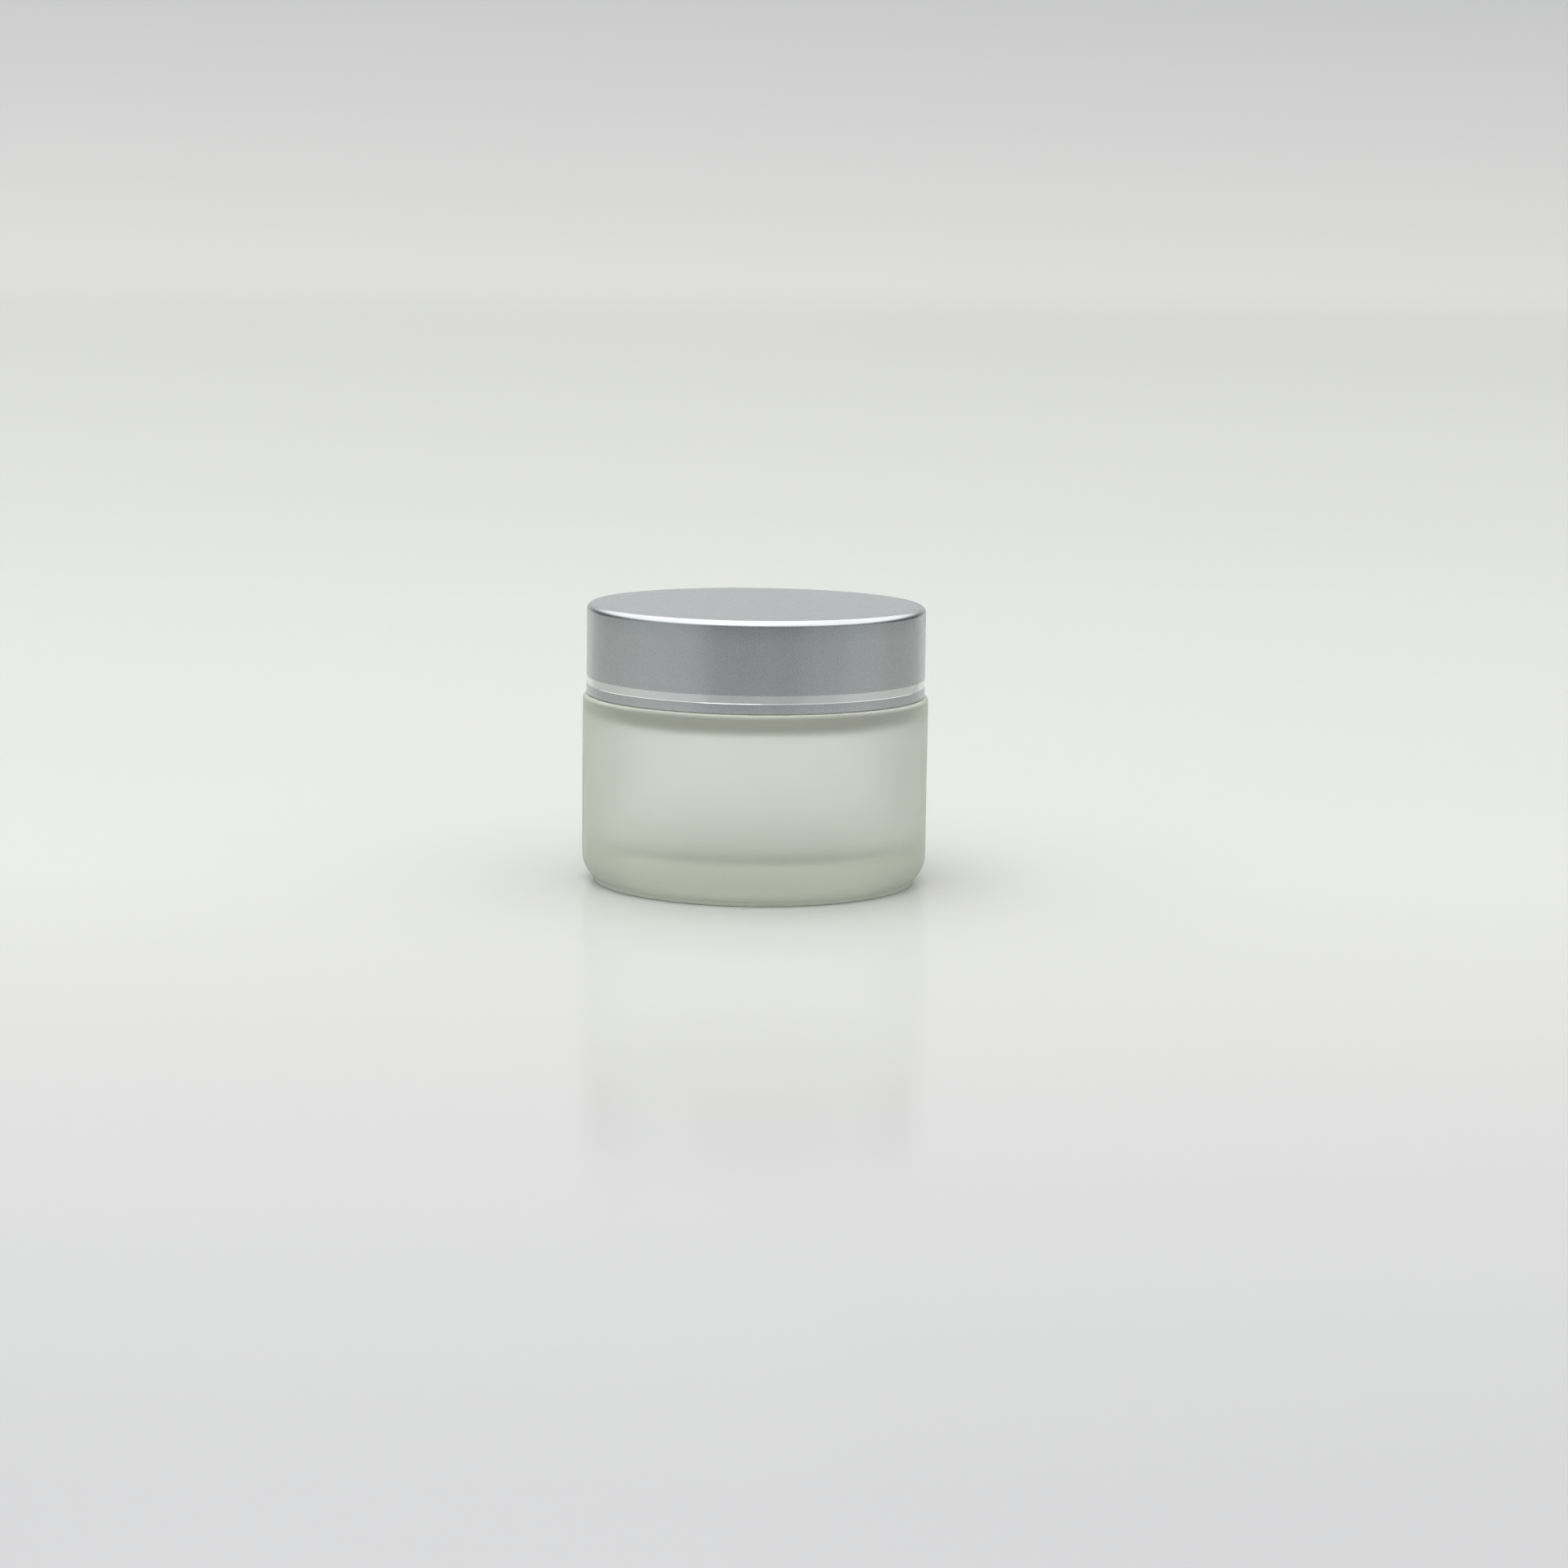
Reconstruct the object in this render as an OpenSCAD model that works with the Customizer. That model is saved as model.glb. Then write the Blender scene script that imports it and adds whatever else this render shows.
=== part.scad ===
// Cosmetic cream jar: a heavy-walled frosted glass jar with a screw lid.
// The lid is a moulded inner cap in an aluminium shell, over a foam liner and a loose sealing disc.
// Millimetres. +Z is up, and the origin is the centre of the foot, on the table.
// Everything is set out from the glass: across, from the outside in; upwards, from the shoulder.

/* [Glass body] */
// Outside diameter of the glass body
body_d = 60; // [48:0.5:80]
// Height of the shoulder above the table
body_h = 32.5; // [24:0.1:60]
// Thickness of the side wall
wall_t = 5; // [3:0.25:7]
// Height of the well's floor above the table
floor_z = 6.5; // [4:0.25:10]
// Thickness of the glass over the well's edge, at the shoulder
shoulder_t = 3.5; // [2:0.25:5]
// How steeply the well's ceiling climbs from there to the neck's bore, in degrees
ceiling_slope = 30; // [0:5:40]
// Rounding of the outside corner, from the side down to the foot
corner_r = 5.5; // [2:0.25:7]
// Rounding of the shoulder's outside edge
shoulder_r = 0.8; // [0.5:0.1:2]
// Rounding inside the well, at the floor
well_r = 3; // [1:0.25:5]
// Rounding inside the well, where its wall meets its ceiling
ceiling_r = 1.5; // [0.5:0.25:3]
// Rounding where the neck's bore meets the ceiling
throat_r = 1; // [0.5:0.25:2]
// How far the foot's upright edge stands in from the glass body's side
foot_inset = 2; // [1:0.25:3]
// Height of the foot's upright edge
foot_h = 0.7; // [0.4:0.1:2]
// Rounding under the foot's edge
foot_r = 0.3; // [0.1:0.05:0.4]
// Width of the flat ring that the jar stands on
foot_w = 9; // [4:0.25:12]
// Height of the dome under the floor
punt_h = 1; // [0.4:0.1:2]

/* [Glass neck] */
// Thickness of the neck's wall under the thread
neck_t = 4.1; // [2.5:0.1:5]
// Plain height from the shoulder to the thread
neck_lead = 2.9; // [2.7:0.1:6]
// Height from the thread to the sealing land
land_gap = 1.35; // [1.3:0.05:4]
// Rounding of the neck's lip
lip_r = 0.8; // [0.4:0.1:1.2]

/* [Thread] */
// Rise of the thread in one turn
pitch = 4.232; // [3.8:0.004:6]
// Turns of thread on the neck, and in the cap
turns = 1.25; // [1:0.25:2]
// Height of both threads, from root to crest
thread_h = 1.2; // [0.8:0.1:1.5]
// Width of the neck's thread at its root
neck_thread_w = 2.4; // [2:0.1:2.6]
// Width of the cap's thread at its root
cap_thread_w = 2; // [1.6:0.1:2.2]
// Gap between each crest and the root that it faces
thread_gap = 0.35; // [0.2:0.05:0.5]
// Gap between the two bearing flanks when the lid is tight
flank_gap = 0.1; // [0.05:0.01:0.2]
// Plain height from the cap's bottom edge to its thread
cap_lead = 0.5; // [0.3:0.1:2]

/* [Lid] */
// How far the lid's side stands in from the glass body's side
lid_inset = 0.65; // [0:0.05:2]
// Gap between the lid and the shoulder
lid_gap = 0.15; // [0.1:0.05:2]
// Thickness of the aluminium shell
shell_t = 0.45; // [0.3:0.05:0.8]
// Rounding of the shell's top edge, outside
shell_r = 1.1; // [0.8:0.1:3]
// Height of the bright-cut band above the shell's bottom edge
band_low = 1.7; // [1:0.1:5]
// Width of the bright-cut band
band_w = 1.3; // [0.5:0.1:3]
// Depth of the bright cut
band_cut = 0.08; // [0.04:0.01:0.2]
// Wall of the inner cap's skirt
skirt_t = 1.3; // [1:0.1:2]
// Thickness of the inner cap's top
plate_t = 1.2; // [0.8:0.1:2]
// How far the skirt's ribs stand out to the shell
rib_h = 0.95; // [0.6:0.05:2]
// Width of a rib
rib_w = 1.2; // [0.6:0.1:2]
// Number of ribs
rib_count = 24; // [12:2:36]
// How far the inner cap's bottom stands up inside the shell
skirt_rise = 0.3; // [0:0.1:1]
// Thickness of the flange that closes the gap at the skirt's bottom
flange_t = 0.8; // [0.5:0.1:1.5]
// Gap between cap and shell tops, filled by rings and adhesive
glue_t = 0.3; // [0.2:0.05:0.6]
// Number of adhesive dabs
dab_count = 6; // [3:1:12]

/* [Liner and sealing disc] */
// Thickness of the foam liner
liner_t = 1; // [0.6:0.1:2]
// Gap round the liner
liner_gap = 0.2; // [0.1:0.05:0.25]
// Thickness of the sealing disc's rim and walls
disc_t = 0.8; // [0.6:0.1:1.5]
// Depth of the disc's dish below the sealing land
dish_depth = 3; // [2:0.1:6]
// Gap between the dish and the bore of the neck
dish_gap = 0.15; // [0.1:0.05:0.4]
// Length of the finger grip in the dish
grip_l = 14; // [8:0.5:24]
// Thickness of the finger grip
grip_t = 1.8; // [1.2:0.1:4]
// How far the grip's top lies under the rim's top
grip_drop = 0.3; // [0.1:0.1:1]

/* [Hidden] */
$fn = 96;
arc_steps = 10;        // straight steps in a rounded edge
thread_step = 6;       // degrees between a thread's sections
thread_fade = 40;      // degrees over which a thread's ends run out
thread_root = 0.5;     // how deep a thread is rooted in its wall
flank_slope = 0.5;     // how far each flank leans in for each mm of height
bead_h = 0.45;         // how far the liner's retaining bead stands in
bead_w = 0.6;          // height of that bead
fillet_r = 0.8;        // fillet at the foot of the neck
through = 1;           // overrun of a cutting tool

// Across, from the outside in
body_r = body_d / 2;
well_wall_r = body_r - wall_t;
lid_r = body_r - lid_inset;
shell_in_r = lid_r - shell_t;
skirt_r = shell_in_r - rib_h;
cap_bore_r = skirt_r - skirt_t;
neck_crest_r = cap_bore_r - thread_gap;
neck_r = neck_crest_r - thread_h;
bore_r = neck_r - neck_t;
cap_crest_r = cap_bore_r - thread_h;
foot_out_r = body_r - foot_inset;
foot_in_r = foot_out_r - foot_w;
ledge = well_wall_r - bore_r;
ledge_out_r = min(ceiling_r, 0.6 * ledge);
ledge_in_r = min(throat_r, 0.4 * ledge);

// The corner's rounding turns through this angle and starts at this height on the side
corner_turn = acos(1 - foot_inset / corner_r);
corner_z = foot_h + corner_r * sin(corner_turn);

// Upwards, from the shoulder
thread_z = body_h + neck_lead + neck_thread_w / 2;
land_z = thread_z + turns * pitch + neck_thread_w / 2 + land_gap;
liner_z = land_z + disc_t;
plate_z = liner_z + liner_t;
glue_z = plate_z + plate_t;
lid_bottom_z = body_h + lid_gap;
lid_top_z = glue_z + glue_t + shell_t;
skirt_z = lid_bottom_z + skirt_rise;
well_top_z = body_h - shoulder_t;
throat_z = well_top_z + ledge * tan(ceiling_slope);
ease = (1 - sin(ceiling_slope)) / cos(ceiling_slope);   // reach of a rounding against the slope

// The cap's thread hangs this far below the neck's when the lid is tight
thread_drop = (neck_thread_w + cap_thread_w) / 2 - flank_slope * (thread_h + thread_gap) + flank_gap;
cap_thread_z = skirt_z + cap_lead + cap_thread_w / 2;
cap_thread_turn = 360 * (cap_thread_z - (thread_z - thread_drop)) / pitch;

// Rings and dabs on top of the inner cap
ring_w = 0.8;
ring_in_r = bore_r / 2;
ring_out_r = bore_r;
dab_ring_r = (ring_in_r + ring_out_r) / 2;
dab_r = 2.4;

function arc(centre, r, from, to) = [
    for (i = [0:arc_steps])
        let (a = from + (to - from) * i / arc_steps)
            centre + r * [cos(a), sin(a)]
];

// A shallow arc from the axis, at height h, down to radius r at height 0
function dome(r, h) =
    let (big = (r * r + h * h) / (2 * h), half = asin(r / big))
        arc([0, h - big], big, 90, 90 - half);

// Closed profile of the glass, outside and then inside
function glass_profile() = concat(
    dome(foot_in_r, punt_h),
    arc([foot_out_r - foot_r, foot_r], foot_r, -90, 0),
    arc([body_r - corner_r, corner_z], corner_r, -corner_turn, 0),
    arc([body_r - shoulder_r, body_h - shoulder_r], shoulder_r, 0, 90),
    arc([neck_r + fillet_r, body_h + fillet_r], fillet_r, 270, 180),
    arc([neck_r - lip_r, land_z - lip_r], lip_r, 0, 90),
    arc([bore_r + lip_r, land_z - lip_r], lip_r, 90, 180),
    arc([bore_r + ledge_in_r, throat_z + ease * ledge_in_r], ledge_in_r, 180, 270 - ceiling_slope),
    arc([well_wall_r - ledge_out_r, well_top_z - ease * ledge_out_r], ledge_out_r, 90 - ceiling_slope, 0),
    arc([well_wall_r - well_r, floor_z + well_r], well_r, 0, -90),
    [[0, floor_z]]
);

// A helical ridge on a wall of radius r, standing out with side 1 or in with side -1.
// It starts at the angle and height given, is w wide at its root, and runs out at both ends.
module thread(r, side, w, start, z) {
    count = ceil(turns * 360 / thread_step);
    sweep = turns * 360;
    sections = [
        for (i = [0:count])
            let (
                t = sweep * i / count,
                fade = min(1, min(t, sweep - t) / thread_fade),
                h = thread_h * fade - 0.1 * (1 - fade),
                zc = z + pitch * t / 360,
                crest = w / 2 - flank_slope * thread_h,
                root = w / 2 + flank_slope * thread_root,
                a = start + t
            )
                for (p = [[-thread_root, -root], [h, -crest], [h, crest], [-thread_root, root]])
                    let (rad = r + side * p[0])
                        [rad * cos(a), rad * sin(a), zc + p[1]]
    ];
    quads = [
        for (i = [0:count - 1], k = [0:3])
            let (n = (k + 1) % 4, a = 4 * i + k, b = 4 * i + n)
                side > 0 ? [a, b, b + 4, a + 4] : [a, a + 4, b + 4, b]
    ];
    first = [3, 2, 1, 0];
    last = [for (k = [0:3]) 4 * count + k];
    ends = side > 0 ? [first, last] : [[0, 1, 2, 3], [for (k = [3:-1:0]) 4 * count + k]];
    triangles = [for (q = quads) for (t = [[q[0], q[1], q[2]], [q[0], q[2], q[3]]]) t];
    polyhedron(points = sections, faces = concat(triangles, ends));
}

module ring(outer, inner, h) {
    difference() {
        cylinder(r = outer, h = h);
        translate([0, 0, -through]) cylinder(r = inner, h = h + 2 * through);
    }
}

module glass_jar() color("honeydew") union() {
    rotate_extrude() polygon(glass_profile());
    thread(neck_r, 1, neck_thread_w, 0, thread_z);
}

module sealing_disc() color("white") translate([0, 0, land_z]) {
    dish_r = bore_r - dish_gap;
    dish_z = -dish_depth;
    web_z = dish_z + disc_t;
    grip_top = disc_t - grip_drop;
    straight = grip_l - grip_t;
    difference() {
        union() {
            cylinder(r = neck_r, h = disc_t);
            translate([0, 0, dish_z]) cylinder(r = dish_r, h = dish_depth + disc_t / 2);
        }
        translate([0, 0, web_z]) cylinder(r = dish_r - disc_t, h = dish_depth + disc_t + through);
    }
    translate([0, 0, web_z - disc_t / 2]) {
        grip_h = grip_top - web_z + disc_t / 2;
        translate([-straight / 2, -grip_t / 2, 0]) cube([straight, grip_t, grip_h]);
        for (x = [-1, 1]) translate([x * straight / 2, 0, 0]) cylinder(d = grip_t, h = grip_h);
    }
}

module foam_liner() color("whitesmoke")
    translate([0, 0, liner_z]) cylinder(r = cap_bore_r - liner_gap, h = liner_t);

// Closed profile of the cap's wall, top and liner bead; the top edge is rounded as the shell's inside is
function cap_profile() = let (edge_r = shell_r - shell_t) concat(
    [[cap_bore_r, skirt_z], [skirt_r, skirt_z]],
    arc([skirt_r - edge_r, glue_z - edge_r], edge_r, 0, 90),
    [
        [0, glue_z],
        [0, plate_z],
        [cap_bore_r, plate_z],
        [cap_bore_r, liner_z],
        [cap_bore_r - bead_h, liner_z - bead_w / 2],
        [cap_bore_r, liner_z - bead_w]
    ]
);

// The bottom flange and the ribs round the skirt, which fill the shell
module grips() intersection() {
    cylinder(r = shell_in_r, h = lid_top_z);
    union() {
        root_r = skirt_r - skirt_t / 2;
        rib_z = skirt_z + flange_t / 2;
        rib_top = glue_z - shell_r;
        translate([0, 0, skirt_z]) ring(body_r, root_r, flange_t);
        for (i = [0:rib_count - 1]) rotate([0, 0, i * 360 / rib_count])
            translate([root_r, -rib_w / 2, rib_z]) cube([wall_t, rib_w, rib_top - rib_z]);
    }
}

module inner_cap() color("white") {
    rotate_extrude() polygon(cap_profile());
    grips();
    for (r = [ring_in_r, ring_out_r])
        translate([0, 0, glue_z - glue_t]) ring(r + ring_w / 2, r - ring_w / 2, 2 * glue_t);
    thread(cap_bore_r, -1, cap_thread_w, cap_thread_turn, cap_thread_z);
}

module adhesive_dabs() color("ivory")
    for (i = [0:dab_count - 1]) rotate([0, 0, i * 360 / dab_count])
        translate([dab_ring_r, 0, glue_z]) cylinder(r = dab_r, h = glue_t);

module aluminium_shell() color("silver") {
    inner_r = shell_r - shell_t;
    difference() {
        rotate_extrude() polygon(concat(
            [[0, lid_top_z - shell_t], [0, lid_top_z]],
            arc([lid_r - shell_r, lid_top_z - shell_r], shell_r, 90, 0),
            [[lid_r, lid_bottom_z], [shell_in_r, lid_bottom_z]],
            arc([shell_in_r - inner_r, lid_top_z - shell_t - inner_r], inner_r, 0, 90)
        ));
        translate([0, 0, lid_bottom_z + band_low]) ring(lid_r + through, lid_r - band_cut, band_w);
    }
}

glass_jar();
sealing_disc();
foam_liner();
inner_cap();
adhesive_dabs();
aluminium_shell();
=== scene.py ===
# Cosmetic cream jar: frosted glass, with a screw lid of satin aluminium.
# Every piece is a surface worked out from its own outline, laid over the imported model.
# Lengths in the pieces' and the materials' dictionaries are millimetres, and mm makes them metres.
import math

import bpy
import numpy as np
from mathutils import Matrix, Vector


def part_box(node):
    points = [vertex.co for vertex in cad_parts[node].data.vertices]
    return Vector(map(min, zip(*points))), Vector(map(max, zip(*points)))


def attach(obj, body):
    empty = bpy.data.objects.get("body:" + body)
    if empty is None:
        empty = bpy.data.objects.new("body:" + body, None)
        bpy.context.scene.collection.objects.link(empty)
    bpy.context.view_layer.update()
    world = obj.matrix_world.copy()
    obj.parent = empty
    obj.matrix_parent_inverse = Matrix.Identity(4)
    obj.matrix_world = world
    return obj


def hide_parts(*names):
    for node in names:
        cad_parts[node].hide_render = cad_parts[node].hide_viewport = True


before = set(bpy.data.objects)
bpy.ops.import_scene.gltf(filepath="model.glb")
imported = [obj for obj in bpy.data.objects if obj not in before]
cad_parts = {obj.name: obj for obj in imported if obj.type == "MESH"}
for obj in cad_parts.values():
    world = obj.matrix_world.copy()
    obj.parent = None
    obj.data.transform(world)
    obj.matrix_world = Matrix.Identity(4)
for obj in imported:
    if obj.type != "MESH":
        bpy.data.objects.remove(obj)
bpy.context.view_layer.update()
mm = 0.001
tiny = 1e-6        # two heights or radii closer than this are the same
fullTurn = 2 * math.pi
print("frame loaded:", ", ".join(sorted(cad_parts)))


# Heights and radii where the pieces meet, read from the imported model

def lowest(node):
    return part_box(node)[0].z / mm


def highest(node):
    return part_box(node)[1].z / mm


def widest(node):
    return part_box(node)[1].x / mm


fit = {
    "bodyRadius": widest("glass_jar"),
    "landHeight": highest("glass_jar"),
    "neckRadius": widest("sealing_disc"),
    "dishFloor": lowest("sealing_disc"),
    "linerRadius": widest("foam_liner"),
    "linerBottom": lowest("foam_liner"),
    "plateBottom": highest("foam_liner"),
    "capBottom": lowest("inner_cap"),
    "shellInside": widest("inner_cap"),
    "plateTop": lowest("adhesive_dabs"),
    "shellCeiling": highest("adhesive_dabs"),
    "lidRadius": widest("aluminium_shell"),
    "lidBottom": lowest("aluminium_shell"),
    "lidTop": highest("aluminium_shell"),
}


# Surfaces

# An outline through (radius, height, rounding) corners. A rounding q at a corner of opening angle a
# begins q / tan(a / 2) away along both sides, and its centre is q / sin(a / 2) away on the bisector.
# Straight stretches are cut into steps no longer than longestStep.
def roundedOutline(corners, arcSteps=8, longestStep=4.0):
    spots = np.array([corner[:2] for corner in corners], float)
    rows = [spots[0]]
    for i in range(1, len(corners) - 1):
        q = corners[i][2]
        if q == 0:
            rows.append(spots[i])
            continue
        back, ahead = spots[i - 1] - spots[i], spots[i + 1] - spots[i]
        back, ahead = back / np.linalg.norm(back), ahead / np.linalg.norm(ahead)
        half = math.acos(np.clip(back @ ahead, -1, 1)) / 2
        centre = spots[i] + (back + ahead) / np.linalg.norm(back + ahead) * q / math.sin(half)
        first = spots[i] + back * q / math.tan(half) - centre
        last = spots[i] + ahead * q / math.tan(half) - centre
        start = math.atan2(first[1], first[0])
        sweep = (math.atan2(last[1], last[0]) - start + math.pi) % fullTurn - math.pi
        turn = start + sweep * np.linspace(0, 1, arcSteps + 1)
        rows += list(centre + q * np.stack([np.cos(turn), np.sin(turn)], 1))
    rows.append(spots[-1])
    rows = np.array(rows)
    length = np.linalg.norm(np.diff(rows, axis=0), axis=1)
    cut = [np.linspace(a, b, math.ceil(step / longestStep), endpoint=False)
           for a, b, step in zip(rows[:-1], rows[1:], length) if step > tiny]
    return np.concatenate(cut + [rows[-1:]])


# Cuts the straight stretches between two heights, at one radius, into steps no longer than step
def cutFiner(outline, radius, low, high, step):
    a, b = outline[:-1], outline[1:]
    onWall = (np.abs(a[:, 0] - radius) < tiny) & (np.abs(b[:, 0] - radius) < tiny)
    onWall &= (np.minimum(a[:, 1], b[:, 1]) > low - tiny) & (np.maximum(a[:, 1], b[:, 1]) < high + tiny)
    pieces = np.where(onWall, np.ceil(np.linalg.norm(b - a, axis=1) / step), 1).astype(int)
    rows = [np.linspace(p, q, n, endpoint=False) for p, q, n in zip(a, b, pieces)]
    return np.concatenate(rows + [outline[-1:]])


# Turn angles of a grid's columns: even steps, and finer ones round each of some places
def turnAngles(steps, places=(), reach=0.0, finer=0):
    even = np.arange(steps) * fullTurn / steps
    extra = [place + np.linspace(-reach, reach, finer) for place in places]
    return np.unique(np.round(np.concatenate([even] + extra) % fullTurn, 6))


# A turned surface: row (r, z) at turn angle a is at ((r + swell) cos a, (r + swell) sin a, z + rise)
def turnedGrid(outline, angles, swell=0.0, rise=0.0):
    r = outline[:, :1] + swell + 0 * angles
    z = outline[:, 1:] + rise + 0 * angles
    return np.stack([r * np.cos(angles), r * np.sin(angles), z], -1)


# A smooth step from 0 to 1: 3 s^2 - 2 s^3
def smoothStep(share):
    s = np.clip(share, 0, 1)
    return s * s * (3 - 2 * s)


# Height of a screw thread over its wall, for each row's height and each column's turn angle. After t
# turns the ridge's middle is at start + pitch t, and its flanks and both ends run out in smooth steps.
def threadRidge(thread, heights, angles):
    ridge = np.zeros((len(heights), len(angles)))
    first = ((angles - math.radians(thread["startDegrees"])) / fullTurn) % 1
    for whole in range(math.ceil(thread["turns"])):
        t = first + whole
        off = np.abs(heights[:, None] - (thread["start"] + thread["pitch"] * t)[None, :])
        flank = smoothStep((thread["rootHalf"] - off) / (thread["rootHalf"] - thread["crestHalf"]))
        ends = smoothStep(np.minimum(t, thread["turns"] - t) / thread["fadeTurns"])
        ridge = np.maximum(ridge, thread["height"] * flank * ends[None, :])
    return ridge


# Faces of a grid of rows by columns that is closed round its columns. An end row whose points all meet
# becomes one pole, and any other end row is closed with one flat face.
def closedFaces(grid):
    rows, columns = grid.shape[:2]
    index = np.arange(rows * columns).reshape(rows, columns)
    lids = []
    for row, turned in ((0, True), (rows - 1, False)):
        if np.ptp(grid[row], axis=0).max() < tiny:
            index[row] = index[row, 0]
        else:
            lids.append((index[row][::-1] if turned else index[row]).tolist())
    ahead = np.roll(index, -1, axis=1)
    quads = np.stack([index[:-1], ahead[:-1], ahead[1:], index[1:]], -1).reshape(-1, 4)
    atStart, atEnd = quads[:, 0] == quads[:, 1], quads[:, 2] == quads[:, 3]
    wholes, starts, ends = quads[~(atStart | atEnd)], quads[atStart][:, 1:], quads[atEnd][:, :3]
    return wholes.tolist() + starts.tolist() + ends.tolist() + lids


# One object from one or more closed grids. Edges over sharpDegrees stay sharp, and marks holds one
# value for each grid point under each attribute's name.
def makePiece(name, grids, body, node, materials, sharpDegrees=40, marks=None):
    points = np.concatenate([grid.reshape(-1, 3) for grid in grids]) * mm
    faces, start = [], 0
    for grid in grids:
        faces += [[start + i for i in face] for face in closedFaces(grid)]
        start += grid.shape[0] * grid.shape[1]
    used, order = np.unique(np.concatenate([np.array(face) for face in faces]), return_inverse=True)
    ends = np.cumsum([len(face) for face in faces])[:-1]
    mesh = bpy.data.meshes.new(name)
    mesh.from_pydata(points[used].tolist(), [], [face.tolist() for face in np.split(order, ends)])
    for mark, values in (marks or {}).items():
        mesh.attributes.new(mark, "FLOAT", "POINT").data.foreach_set("value", values.ravel()[used])
    mesh.shade_smooth()
    mesh.set_sharp_from_angle(angle=math.radians(sharpDegrees))
    for material in materials:
        mesh.materials.append(material)
    piece = bpy.data.objects.new(name, mesh)
    bpy.context.scene.collection.objects.link(piece)
    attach(piece, body)
    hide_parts(node)
    print(f"{name}: {len(mesh.polygons)} faces")
    return piece


# Materials

# Adds a node with its own settings, its sockets' values and what feeds them
def addNode(tree, kind, values=None, links=None, **settings):
    made = tree.nodes.new(kind)
    for name, setting in settings.items():
        setattr(made, name, setting)
    for socket, value in (values or {}).items():
        made.inputs[socket].default_value = value
    for socket, source in (links or {}).items():
        tree.links.new(source, made.inputs[socket])
    return made


noiseLow, noiseHigh = 0.3, 0.7     # nearly all of a noise texture lies between these values
waveRepeat = 0.314                 # between the bands of a wave texture at scale 1


# sRGB to linear: divided by 12.92 near black, and a power of 2.4 above
def linearColour(hexCode):
    parts = [int(hexCode[i:i + 2], 16) / 255 for i in (0, 2, 4)]
    return [c / 12.92 if c <= 0.04045 else ((c + 0.055) / 1.055) ** 2.4 for c in parts] + [1.0]


# An empty material, with its output and its Object coordinates
def startMaterial(name):
    material = bpy.data.materials.new(name)
    material.use_nodes = True
    tree = material.node_tree
    tree.nodes.clear()
    output = addNode(tree, "ShaderNodeOutputMaterial")
    return material, tree, output, addNode(tree, "ShaderNodeTexCoord").outputs["Object"]


# Pressed soda-lime glass, etched in acid on the outside. The etch is a fine even frost that blurs what
# is behind it, and the well and bore keep their fire polish. Thick soda-lime glass looks green.
etchedGlass = {
    "ior": 1.5,
    "tint": "d2dac6",         # what thick glass lets through
    "tintPerMetre": 17.0,
    "haze": 0.28,             # share of the light that the etch scatters right back
    "hazeColour": "f5f8e8",
    "outsideRoughness": 0.43,
    "insideRoughness": 0.12,
    "frostGrain": 0.3,        # the real grain is under 0.05 mm, too fine to show
    "frostDepth": 0.05,
    "frostStrength": 0.06,
    "mottle": 6.0,            # between patches of heavier and lighter etching
    "mottleDepth": 0.04,      # how much rougher and smoother they are
    "mouldWave": 9.0,         # between the soft waves that the mould leaves
    "waveDepth": 0.4,
    "waveStrength": 0.25,
}


def etchedGlassMaterial(settings):
    material, tree, output, place = startMaterial("pressedGlassAcidEtched")
    etched = addNode(tree, "ShaderNodeAttribute", attribute_name="etched").outputs["Fac"]
    mottle = addNode(tree, "ShaderNodeTexNoise",
                     {"Scale": 1 / (settings["mottle"] * mm), "Detail": 3.0}, {"Vector": place})
    outside = addNode(tree, "ShaderNodeMapRange",
                      {"From Min": noiseLow, "From Max": noiseHigh,
                       "To Min": settings["outsideRoughness"] - settings["mottleDepth"],
                       "To Max": settings["outsideRoughness"] + settings["mottleDepth"]},
                      {"Value": mottle.outputs["Fac"]})
    roughness = addNode(tree, "ShaderNodeMix", {2: settings["insideRoughness"]},
                        {0: etched, 3: outside.outputs["Result"]}, data_type="FLOAT")
    grain = addNode(tree, "ShaderNodeTexNoise",
                    {"Scale": 1 / (settings["frostGrain"] * mm), "Detail": 2.0}, {"Vector": place})
    grainBump = addNode(tree, "ShaderNodeBump",
                        {"Strength": settings["frostStrength"], "Distance": settings["frostDepth"] * mm},
                        {"Height": grain.outputs["Fac"]})
    wave = addNode(tree, "ShaderNodeTexNoise",
                   {"Scale": 1 / (settings["mouldWave"] * mm), "Detail": 1.0}, {"Vector": place})
    waveBump = addNode(tree, "ShaderNodeBump",
                       {"Strength": settings["waveStrength"], "Distance": settings["waveDepth"] * mm},
                       {"Height": wave.outputs["Fac"], "Normal": grainBump.outputs["Normal"]})
    glass = addNode(tree, "ShaderNodeBsdfPrincipled",
                    {"Base Color": (1, 1, 1, 1), "IOR": settings["ior"],
                     "Transmission Weight": 1.0},
                    {"Roughness": roughness.outputs[0], "Normal": waveBump.outputs["Normal"]})
    inside = addNode(tree, "ShaderNodeVolumeAbsorption",
                     {"Color": linearColour(settings["tint"]), "Density": settings["tintPerMetre"]})
    haze = addNode(tree, "ShaderNodeBsdfDiffuse", {"Color": linearColour(settings["hazeColour"])})
    share = addNode(tree, "ShaderNodeMath", {1: settings["haze"]}, {0: etched}, operation="MULTIPLY")
    frosted = addNode(tree, "ShaderNodeMixShader",
                      links={0: share.outputs[0], 1: glass.outputs[0], 2: haze.outputs[0]})
    tree.links.new(frosted.outputs[0], output.inputs["Surface"])
    tree.links.new(inside.outputs[0], output.inputs["Volume"])
    return material


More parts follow.
